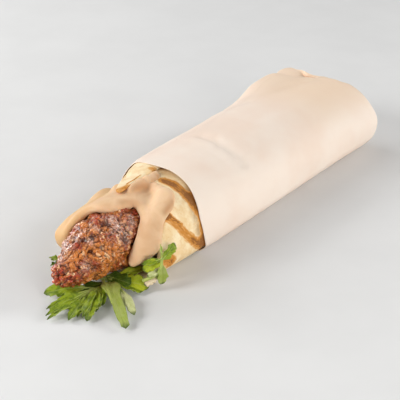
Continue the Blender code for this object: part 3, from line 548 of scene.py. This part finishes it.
def makeSauce():
    look = sauceLook
    blobs = []
    for middle, radius in sauceBlobs:
        deselectAll()
        bpy.ops.mesh.primitive_ico_sphere_add(subdivisions=3, radius=radius * mm,
                                              location=Vector(middle) * mm)
        blobs.append(bpy.context.object)
    sauce = cadCopy("sauce", "creamySauce")
    for blob in blobs:
        blob.select_set(True)
    bpy.ops.object.join()
    applyMod(sauce, "REMESH", mode="VOXEL", voxel_size=look["voxel"] * mm)
    applyMod(sauce, "SMOOTH", factor=0.5, iterations=look["smoothing"][0])
    points, normals = readPoints(sauce), readNormals(sauce)
    lift = look["swell"] + look["rippleHeight"] * softNoise(points, look["rippleSize"], 3.0)
    lift += ridgeLift(points, sauceRidges)
    writePoints(sauce, pullPoints(points + normals * lift[:, None], look["pulls"]))
    applyMod(sauce, "SMOOTH", factor=0.5, iterations=look["smoothing"][1])
    subdivide(sauce, 1)
    points = readPoints(sauce)
    # painted shade grows towards the left side
    thin = smooth01(points[:, 0], *look["thinSide"])
    shades = [strength * np.exp(-(nearPath(points, path) / width) ** 2)
              for width, strength, path in sauceShades]
    saveValues(sauce, thin=thin, shade=np.max(shades, axis=0))
    finishPiece(sauce, "sauce", sauceMaterial())


# paper sleeve

paperLook = {
    "thick": 0.28, "waveSize": 16.0, "waveHeight": 0.45, "crinkleSize": 5.0, "crinkleHeight": 0.08,
    "underHigh": (1.0, 8.0), "hug": 0.4, "hugAlong": (-70.0, -84.0), "layer": 0.45,
    "layerHigh": (36.0, 26.0),
    "seamHigh": 17.0, "seamWave": 1.2, "seamWaveLong": 19.0, "seamSide": -15.0,
    "flapFrom": 86.0, "flapHigh": 24.0, "flapMiddle": -1.0, "flapHalf": 14.0, "flapSlope": 1.05,
    "looseMiddle": (-20.5, 44.0), "looseWide": 10.0, "looseHigh": 2.6,
    "looseStart": (32.0, 46.0), "looseEnd": (78.0, 64.0),
    "farAlong": (50.0, 90.0), "reach": 5.0, "pinchHigh": 18.5, "pinchWide": 9.0,
    "spread": 1.6, "spreadWide": (20.0, 34.0),
    "peach": (0.87, 0.70, 0.58), "cream": (0.90, 0.77, 0.66), "warm": (0.84, 0.62, 0.44),
    "crease": (0.62, 0.44, 0.32), "warmShare": 0.75, "warmAlong": (8.0, 60.0), "warmHigh": (24.0, 42.0),
}
paperCreases = [  # (height mm, half width mm, points mm along the crease)
    (-1.0, 3.4, [(-15.4, 14.0, 42.8), (-8.8, 24.0, 44.5), (-5.7, 37.1, 44.8),
                 (-4.1, 53.1, 44.3), (-1.7, 68.2, 43.6), (3.3, 78.0, 43.0)]),
    (-6.0, 8.0, [(-16.0, 74.0, 46.0), (-14.0, 77.0, 46.0), (-10.9, 82.0, 46.0), (-7.7, 86.0, 45.0)]),
    (-2.4, 6.5, [(-20.0, 88.0, 44.5), (-16.8, 88.0, 45.7), (-11.0, 90.0, 45.5)]),
    (1.8, 4.5, [(-27.0, 82.0, 40.0), (-25.0, 88.0, 41.0)]),
    (-1.6, 5.0, [(6.0, 89.0, 42.0), (12.0, 90.0, 41.0)]),
    (-1.2, 1.6, [(-30.0, 93.0, 34.0), (-20.0, 96.0, 27.0), (-8.0, 97.0, 21.0)]),
    (-1.2, 1.6, [(32.0, 93.0, 31.0), (22.0, 96.0, 26.0), (10.0, 97.0, 21.0)]),
]


def keepOuterSkin(paper):  # the inner skin and the rim go, and a thin wall is given back at the end
    bpy.ops.object.mode_set(mode="EDIT")
    bpy.ops.mesh.select_mode(type="FACE")
    bpy.ops.mesh.select_all(action="DESELECT")
    bpy.ops.object.mode_set(mode="OBJECT")
    for face in paper.data.polygons:
        x, _, z = face.center / mm
        outward = face.normal.x * x + face.normal.z * (z - rollHigh)
        atEnd = abs(face.normal.y) > 0.75
        face.select = face.normal.y < 0 if atEnd else outward < 0
    bpy.ops.object.mode_set(mode="EDIT")
    bpy.ops.mesh.delete(type="FACE")
    bpy.ops.object.mode_set(mode="OBJECT")


def foldEdge(points):  # mm inside the edge of the side overlap, or of the flap on the closed end
    look = paperLook
    x, y, z = points.T
    seam = z - look["seamHigh"] - look["seamWave"] * np.sin(y / look["seamWaveLong"])
    seam = np.where(x < look["seamSide"], seam, -9.0)  # it is on the left side only
    sides = np.maximum(np.abs(x - look["flapMiddle"]) - look["flapHalf"], 0.0)
    flap = look["flapHigh"] - look["flapSlope"] * sides - z
    return np.clip(np.where(y > look["flapFrom"], flap, seam), -3.0, 3.0)


def paperMaterial():
    look = paperLook
    finish = Finish("sleevePaper", **{"Roughness": 0.75, "Specular IOR Level": 0.12,
                                      "Subsurface Weight": 0.12, "Subsurface Scale": 0.002,
                                      "Subsurface Radius": (1.0, 0.8, 0.65)})
    body = finish.mix(finish.patches(38.0, 3.0, 0.5, 0.36, 0.66), look["peach"], look["cream"])
    body = finish.mix(finish.value("warmTone"), body, look["warm"])
    fibre = finish.grain(0.5, 4.0, 0.7)
    body = finish.mix(finish.span(fibre, 0.35, 0.65, 0.0, 0.05), body, look["peach"], "MULTIPLY")
    fold = finish.value("foldEdge")
    # painted shade: a darker line along the fold edge
    line = finish.math("ABSOLUTE", finish.math("ADD", fold, 0.2))
    finish.colour(finish.mix(finish.span(line, 0.1, 0.5, 0.35, 0.0), body, look["crease"]))
    finish.bump(finish.span(fold, -0.15, 0.15), 0.3)
    finish.bump(fibre, 0.02, 0.6)
    return finish.material


def makePaper():
    look = paperLook
    paper = cadCopy("paper_sleeve", "paperSleeve")
    keepOuterSkin(paper)
    subdivide(paper, 3)
    points, normals = readPoints(paper), readNormals(paper)
    x, y, z = points.T  # these follow points as it is changed in place
    low = smooth01(z, *look["underHigh"])  # the underside stays flat
    edge = foldEdge(points)
    layer = np.where(y > look["flapFrom"], 1.0, smooth01(z, *look["layerHigh"]))
    layer *= smooth01(edge, -0.5, 0.5)
    lift = look["waveHeight"] * softNoise(points * (1.0, 0.5, 1.0), look["waveSize"], 2.0)
    lift += look["crinkleHeight"] * softNoise(points, look["crinkleSize"], 6.0)
    lift += ridgeLift(points, paperCreases + wrapDents)
    lift -= look["hug"] * smooth01(y, *look["hugAlong"])
    lift += look["layer"] * layer
    points += normals * (lift * low)[:, None]
    looseX, looseZ = look["looseMiddle"]
    loose = np.exp(-((x - looseX) ** 2 + (z - looseZ) ** 2) / look["looseWide"] ** 2)
    loose *= smooth01(y, *look["looseStart"]) * smooth01(y, *look["looseEnd"])
    points += normals * (look["looseHigh"] * loose)[:, None]
    far = smooth01(y, *look["farAlong"])
    pinch = np.exp(-((z - look["pinchHigh"]) / look["pinchWide"]) ** 2)
    y += look["reach"] * far * (0.55 + 0.45 * pinch)
    wide = smooth01(np.abs(x), *look["spreadWide"])
    x += look["spread"] * np.sign(x) * wide * far * (0.5 + pinch)
    np.maximum(z, 0.0, out=z)
    writePoints(paper, pullPoints(points, [shoulderPull]))
    warm = look["warmShare"] * smooth01(y, *look["warmAlong"]) * smooth01(z, *look["warmHigh"])
    saveValues(paper, foldEdge=edge, warmTone=warm)
    applyMod(paper, "SOLIDIFY", thickness=look["thick"] * mm, offset=-1.0)
    finishPiece(paper, "paper_sleeve", paperMaterial())


# parsley

leafLook = {
    "along": 36, "across": 10, "thick": 0.3, "ripple": 0.7, "quilt": 0.2, "floor": 0.9, "floorStep": 0.06,
    "toothShift": (-0.015, 0.015), "toothWide": (-0.2, 0.08), "stem": (1.0, 0.7), "stalk": (0.55, 0.25),
    "waveAlong": 13.0, "waveAcross": 2.4, "veinPairs": 6.0, "veinSlant": 2.0,
    "ribDepth": 0.3, "ribHalf": 0.5,
    "green": (0.270, 0.355, 0.016), "deep": (0.085, 0.150, 0.008), "vein": (0.44, 0.50, 0.12),
    "under": (0.36, 0.42, 0.11), "shade": (0.050, 0.095, 0.008), "stemGreen": (0.34, 0.43, 0.09),
    "bright": (0.42, 0.47, 0.020), "pale": (0.62, 0.64, 0.32), "onion": (0.86, 0.66, 0.48),
}
lobeShapes = {  # (part of the length, part of the half width, lean forward of the tooth)
    "blade": [(0.00, 0.10, 0.0), (0.15, 0.34, 0.0), (0.32, 0.80, 0.0), (0.45, 1.00, 0.03),
              (0.50, 0.86, 0.0), (0.64, 0.96, 0.05), (0.69, 0.70, 0.0), (0.80, 0.66, 0.06),
              (0.85, 0.46, 0.0), (0.94, 0.24, 0.0), (1.00, 0.03, 0.0)],
    "lens": [(0.00, 0.12, 0.0), (0.15, 0.48, 0.0), (0.32, 0.86, 0.0), (0.48, 1.00, 0.0),
             (0.54, 0.94, 0.0), (0.66, 1.00, 0.03), (0.71, 0.86, 0.0), (0.82, 0.84, 0.03),
             (0.87, 0.64, 0.0), (0.95, 0.40, 0.0), (1.00, 0.03, 0.0)],
    "strap": [(0.00, 0.75, 0.0), (0.08, 1.00, 0.0), (0.18, 0.95, 0.0), (0.30, 0.68, 0.0),
              (0.45, 0.60, 0.0), (0.65, 0.64, 0.0), (0.80, 0.58, 0.03), (0.86, 0.48, 0.0),
              (0.92, 0.44, 0.04), (0.96, 0.28, 0.0), (1.00, 0.03, 0.0)],
    "round": [(0.00, 0.10, 0.0), (0.14, 0.42, 0.0), (0.28, 0.86, 0.0), (0.40, 1.00, 0.0),
              (0.48, 0.90, 0.0), (0.60, 1.00, 0.02), (0.72, 0.92, 0.02), (0.78, 0.76, 0.0),
              (0.86, 0.78, 0.02), (0.93, 0.56, 0.0), (0.98, 0.34, 0.0), (1.00, 0.10, 0.0)],
}
tilted = (0.22, -0.42, 0.88)  # leaves that lean towards the open side
frontStem = [(12.0, -122.0, 4.8), (12.0, -134.0, 4.4), (11.2, -141.0, 3.4), (10.2, -147.0, 3.0),
             (9.0, -151.5, 3.6)]
paleStalk = [(8.0, -144.5, 4.4), (13.2, -149.0, 5.4), (19.9, -154.6, 5.6), (26.4, -160.2, 4.8)]
farStem = [(11.2, -141.0, 4.2), (2.0, -140.4, 2.2), (-10.0, -140.2, 2.0), (-19.5, -140.8, 3.4)]
frontRoots = [(9.0, -151.5, 3.6), (10.2, -147.0, 3.0), (11.2, -141.0, 3.4), (12.0, -138.0, 4.0),
              (-19.5, -140.8, 3.4)]
# the skins are 0 top, 1 under, 2 shade, 3 stem, 4 pale, 5 onion and 6 bright, each backed by its other; 2
# paints shade and 6 paints light
otherSkin = (1, 0, 1, 3, 1, 5, 1)
frontLobes = [  # base, tip, half width, shape, skin, arch, fold, root, and facing where it isn't upwards
    ((4.6, -154.7, 4.4), (-10.0, -169.2, 3.2), 4.4, "lens", 0, 1.2, 0.6, 0, tilted),
    ((6.4, -156.3, 3.4), (6.6, -174.0, 1.8), 4.6, "round", 0, 0.8, 0.3, 0),
    ((7.6, -157.2, 4.8), (0.4, -179.6, 2.8), 2.4, "blade", 0, 1.0, 0.5, 0, tilted),
    ((8.3, -158.1, 4.6), (3.6, -183.7, 2.2), 2.6, "blade", 0, 0.8, 0.5, 0, tilted),
    ((9.2, -157.6, 4.4), (5.8, -185.4, 1.6), 3.0, "blade", 0, 0.6, 0.5, 0),
    ((10.0, -157.9, 4.2), (14.4, -179.9, 1.3), 3.9, "blade", 0, 0.8, 0.4, 0),
    ((10.6, -157.8, 4.4), (16.6, -175.6, 1.7), 1.9, "lens", 0, 0.8, 0.5, 0),
    ((9.4, -143.5, 3.6), (1.9, -158.6, 3.0), 3.6, "lens", 2, 0.5, 0.3, 2),
    ((10.4, -145.0, 3.2), (6.7, -158.0, 2.6), 3.0, "blade", 0, 0.5, 0.3, 2),
    ((9.8, -151.6, 4.8), (19.8, -175.5, 2.6), 2.2, "blade", 0, 1.2, 0.6, 1),
    ((10.6, -151.9, 4.6), (22.8, -175.8, 1.6), 3.6, "lens", 0, 0.8, 0.8, 1),
    ((10.8, -151.3, 4.4), (21.0, -166.6, 2.0), 3.0, "lens", 0, 0.8, 0.6, 1),
    ((9.9, -149.4, 4.4), (19.8, -160.4, 2.0), 2.9, "round", 0, 0.8, 0.6, 1),
    ((12.7, -145.6, 5.2), (42.6, -170.8, 1.6), 5.0, "strap", 1, 1.6, 0.8, 1),
    ((19.2, -145.1, 4.4), (39.1, -159.5, 2.8), 2.6, "lens", 4, 1.4, -0.9, 2),
    ((13.2, -139.8, 3.8), (28.8, -133.8, 2.6), 5.0, "round", 6, 1.2, 0.5, 2, tilted),
    ((14.4, -140.5, 3.4), (28.2, -138.0, 1.7), 4.2, "round", 0, 0.8, 0.5, 2),
    ((6.3, -140.0, 4.8), (21.6, -139.6, 4.6), 4.6, "round", 2, 0.6, 0.3, 3, tilted),
    ((11.0, -140.1, 5.2), (19.7, -124.7, 6.4), 2.6, "lens", 6, 0.6, 0.5, 3, tilted),
    ((12.4, -138.7, 5.0), (18.8, -131.3, 4.4), 2.6, "blade", 0, 0.6, 0.5, 3, tilted),
    ((-22.4, -140.4, 4.0), (-30.3, -141.4, 5.0), 2.3, "blade", 0, 0.4, 0.4, 4),
    ((-21.5, -141.5, 3.6), (-25.2, -146.2, 4.0), 2.4, "blade", 2, 0.4, 0.4, 4),
]
sideStem = [(26.5, -135.9, 6.4), (30.5, -133.3, 8.2), (33.2, -130.3, 11.4), (33.8, -129.3, 14.6),
            (33.4, -128.9, 17.8)]
sideRoots = [(33.4, -128.9, 17.8), (33.8, -129.3, 15.8), (33.4, -130.1, 11.8)]
sideLobes = [
    ((33.2, -128.6, 16.9), (33.6, -117.5, 21.6), 2.9, "round", 0, 0.6, 0.3, 0, (1.0, -0.45, 0.2)),
    ((33.4, -128.8, 18.3), (32.6, -128.5, 25.6), 0.7, "blade", 3, 0.3, 0.2, 0, (1.0, -0.45, 0.2)),
    ((33.4, -127.9, 17.1), (26.6, -135.5, 12.2), 2.9, "round", 6, 0.6, 0.4, 1, (0.6, -0.6, 0.5)),
    ((33.2, -128.6, 17.5), (25.6, -135.3, 15.2), 1.9, "blade", 0, 0.5, 0.4, 1, (0.5, -0.6, 0.6)),
    ((33.6, -129.2, 15.0), (34.2, -129.9, 4.2), 3.1, "round", 1, 0.6, 0.3, 2, (1.0, -0.5, 0.3)),
    ((33.4, -129.0, 11.8), (29.0, -135.3, 9.6), 1.9, "lens", 4, 0.4, 0.3, 2, (0.5, -0.6, 0.6)),
    ((32.0, -130.1, 8.8), (28.0, -136.3, 4.6), 2.2, "round", 5, 0.5, -0.5, 2, (0.5, -0.6, 0.6)),
]


def leafSkin(name, main, dark, share, bright=0.5):
    look = leafLook
    finish = Finish(name, **{"Roughness": 0.45, "Specular IOR Level": 0.2})
    split = finish.add("ShaderNodeSeparateXYZ")
    finish.feed(split.inputs[0], finish.add("ShaderNodeUVMap", uv_map="UVMap").outputs["UV"])
    side = finish.math("ABSOLUTE", finish.math("SUBTRACT", split.outputs["X"], 0.5))
    phase = finish.math("SUBTRACT", finish.math("MULTIPLY", split.outputs["Y"], look["veinPairs"]),
                        finish.math("MULTIPLY", side, 2.0 * look["veinSlant"]))
    veins = finish.span(finish.math("PINGPONG", phase, 0.5), 0.0, 0.12, 0.7, 0.0)
    veins = finish.math("MAXIMUM", veins, finish.span(side, 0.01, 0.06, 1.0, 0.0))
    body = finish.mix(finish.span(finish.grain(4.0, 3.0, 0.6), 0.40, 0.62, 0.0, share), main, dark)
    body = finish.mix(finish.span(split.outputs["Y"], 0.86, 0.98, 0.0, 0.85), body, look["shade"])
    body = finish.mix(finish.span(split.outputs["Y"], 0.0, 0.3, 0.45, 0.0), body, look["vein"])
    body = finish.mix(finish.math("MULTIPLY", veins, bright), body, look["vein"])
    finish.colour(body)
    finish.bump(finish.math("MULTIPLY", veins, -1.0), 0.12)
    finish.bump(finish.grain(0.6, 2.0), 0.05)
    return finish.material


def leafMaterials():
    look = leafLook
    finish = Finish("parsleyStem", Roughness=0.4)
    finish.colour(finish.mix(finish.span(finish.grain(2.5), 0.35, 0.65), look["stemGreen"], look["vein"]))
    finish.bump(finish.grain(0.4, 2.0), 0.04)
    return [leafSkin("parsleyTop", look["green"], look["deep"], 0.8),
            leafSkin("parsleyUnder", look["under"], look["green"], 0.5),
            leafSkin("parsleyShade", look["shade"], look["deep"], 0.8, 0.25), finish.material,
            leafSkin("parsleyPale", look["pale"], look["under"], 0.4, 0.3),
            leafSkin("onionPiece", look["onion"], look["pale"], 0.3, 0.1),
            # a lighter copy of the parsley green, painted light on leaves that lie in the kofta's shade
            leafSkin("parsleyBright", look["bright"], look["green"], 0.6, 0.4)]


def giveSkins(piece, skin):
    for material in leafMats:
        piece.data.materials.append(material)
    for face in piece.data.polygons:
        face.material_index = skin


def leafPoint(lobe, part, across, wide, lean):  # part of the length, -1 to 1 across, from the shape
    look = leafLook
    base, tip, half, _, _, arch, fold, _, *facing = lobe
    base = Vector(base)
    along = Vector(tip) - base
    length = along.length
    along.normalize()
    left = Vector(facing[0] if facing else (0.0, 0.0, 1.0)).cross(along).normalized()
    bend = arch * math.sin(math.pi * part) + fold * abs(across) * wide
    wave = math.sin(part * look["waveAlong"] + across * look["waveAcross"] + length)
    bend += look["ripple"] * wave * across * across * wide
    veins = math.cos(math.pi * (part * look["veinPairs"] - abs(across) * look["veinSlant"])) ** 6
    bend -= look["quilt"] * veins * abs(across) ** 0.5
    bend -= look["ribDepth"] * math.exp(-(across * wide * half / look["ribHalf"]) ** 2)
    spot = base + along * length * (part + lean * across * across)
    spot += left * half * wide * across + along.cross(left) * bend
    return spot


def makeLobe(name, lobe, seed, low):
    look = leafLook
    shape, skin = lobe[3:5]
    dice = random.Random(seed)
    sides = []
    for _ in range(2):  # each side of a lobe has its own teeth
        teeth = []
        for part, wide, lean in lobeShapes[shape]:
            shift = dice.uniform(*look["toothShift"]) * (0.25 < part < 0.9)
            grow = dice.uniform(*look["toothWide"]) * (0.25 < part < 0.95)
            teeth.append((part + shift, wide * (1.0 + grow), lean))
        sides.append(np.array(teeth).T)
    deselectAll()
    bpy.ops.mesh.primitive_grid_add(x_subdivisions=look["across"], y_subdivisions=look["along"],
                                    size=2.0, calc_uvs=True)
    blade = bpy.context.object
    blade.name = name
    for vert in blade.data.vertices:
        across, part = -vert.co.x, (vert.co.y + 1) / 2
        parts, wides, leans = sides[0] if across > 0 else sides[1]
        wide, lean = np.interp(part, parts, wides), np.interp(part, parts, leans)
        spot = leafPoint(lobe, part, across, float(wide), float(lean))
        spot.z = max(spot.z, low)
        vert.co = spot * mm
    giveSkins(blade, skin)
    step = otherSkin[skin] - skin
    applyMod(blade, "SOLIDIFY", thickness=look["thick"] * mm, offset=0.0, material_offset=step,
             material_offset_rim=step)
    return blade


def makeStalk(name, path, thick, thin):
    data = bpy.data.curves.new(name, "CURVE")
    data.dimensions = "3D"
    data.bevel_depth = mm
    data.bevel_resolution = 3
    data.resolution_u = 8
    data.use_fill_caps = True
    spline = data.splines.new("NURBS")
    spline.points.add(len(path) - 1)
    for i, (point, spot) in enumerate(zip(spline.points, path)):
        point.co = (*(Vector(spot) * mm), 1.0)
        point.radius = thick + (thin - thick) * i / (len(path) - 1)
    spline.use_endpoint_u = True
    spline.order_u = 3
    stalk = bpy.data.objects.new(name, data)
    bpy.context.scene.collection.objects.link(stalk)
    pickOnly(stalk)
    bpy.ops.object.convert(target="MESH")
    stalk = bpy.context.object
    giveSkins(stalk, 3)
    return stalk


def makeSprig(name, node, stems, roots, lobes, seed):
    look = leafLook
    parts = [makeStalk(f"{name}Stem{i}", stem, *look["stem"]) for i, stem in enumerate(stems)]
    for i, lobe in enumerate(lobes):
        parts.append(makeLobe(f"{name}Lobe{i}", lobe, seed + i, look["floor"] + look["floorStep"] * i))
        # each stalk runs from its root to the start of the leaf's midrib
        ribs = [leafPoint(lobe, part, 0.0, 0.0, 0.0) for part in (0.0, 0.15, 0.32)]
        parts.append(makeStalk(f"{name}Stalk{i}", [Vector(roots[lobe[7]]), *ribs], *look["stalk"]))
    deselectAll()
    for part in parts:
        part.select_set(True)
    sprig = parts[0]
    bpy.context.view_layer.objects.active = sprig
    bpy.ops.object.join()
    sprig.name = name
    finishPiece(sprig, node)


# floor, light and camera

def makeFloor():
    deselectAll()
    bpy.ops.mesh.primitive_plane_add(size=6.0, location=(0.0, 0.0, -0.3 * mm))
    floor = bpy.context.object
    floor.name = "paleFloor"
    finish = Finish("paleFloorPaint", **{"Roughness": 0.9, "Specular IOR Level": 0.0})
    tone = finish.span(finish.grain(60.0), 0.3, 0.7)
    finish.colour(finish.mix(tone, (0.71, 0.71, 0.705), (0.735, 0.735, 0.73)))
    floor.data.materials.append(finish.material)


def addSoftbox(name, place, aim, size, power, colour=(1.0, 1.0, 1.0)):
    data = bpy.data.lights.new(name, "AREA")
    data.shape = "RECTANGLE"
    data.size, data.size_y = size
    data.energy = power
    data.color = colour
    lamp = bpy.data.objects.new(name, data)
    lamp.location = place
    lamp.rotation_euler = (Vector(aim) - Vector(place)).to_track_quat("-Z", "Y").to_euler()
    bpy.context.scene.collection.objects.link(lamp)
    return lamp


def makeLight():
    world = bpy.data.worlds.new("studio")
    world.use_nodes = True
    world.node_tree.nodes["Background"].inputs["Color"].default_value = (1.0, 1.0, 1.0, 1.0)
    world.node_tree.nodes["Background"].inputs["Strength"].default_value = 0.2
    bpy.context.scene.world = world
    middle = (0.0, -0.04, 0.02)
    addSoftbox("backRight", (0.8, 0.9, 0.55), middle, (0.5, 0.5), 8.4)
    addSoftbox("frontLeft", (-0.5, -1.0, 0.6), middle, (0.5, 0.5), 9.8)
    addSoftbox("frontRight", (0.9, -0.55, 0.5), middle, (0.5, 0.5), 4.0, (1.0, 0.985, 0.96))
    addSoftbox("lowRight", (0.95, -0.2, 0.18), middle, (0.8, 0.3), 1.6, (1.0, 0.985, 0.96))
    addSoftbox("leftSide", (-1.0, 0.0, 0.6), middle, (0.5, 0.5), 6.6)
    for name, place, size, power in (("backGlow", (-0.9, 1.2, 0.8), (2.0, 1.2), 9.0),
                                     ("topGlow", (0.3, 0.75, 0.85), (0.5, 0.5), 6.3),
                                     ("leftGlow", (-1.15, 0.2, 0.28), (0.7, 0.5), 6.6)):
        card = addSoftbox(name, place, middle, size, power)
        card.visible_diffuse = False  # only shows as a glint


def makeCamera():
    azimuth, elevation = math.radians(34.5), math.radians(25.9)
    data = bpy.data.cameras.new("photoCamera")
    data.sensor_width = 36.0
    data.lens = 116.55  # the lens, the angles and the place are fitted to the photo
    data.clip_start, data.clip_end = 0.01, 20.0
    camera = bpy.data.objects.new("photoCamera", data)
    camera.location = (0.3712, -0.5866, 0.3266)
    camera.rotation_euler = (math.pi / 2 - elevation, 0.0, azimuth)
    bpy.context.scene.collection.objects.link(camera)
    bpy.context.scene.camera = camera


makeFloor()
makeLight()
makeCamera()
bpy.context.scene.view_settings.view_transform = "Standard"
print("floor, lights and camera")
leafMats = leafMaterials()
makePaper()
makeBread()
makeKofta()
makeSauce()
makeSprig("parsleyFront", "parsley_front", [frontStem, farStem, paleStalk], frontRoots, frontLobes, 10)
makeSprig("parsleySide", "parsley_side", [sideStem], sideRoots, sideLobes, 40)
deselectAll()
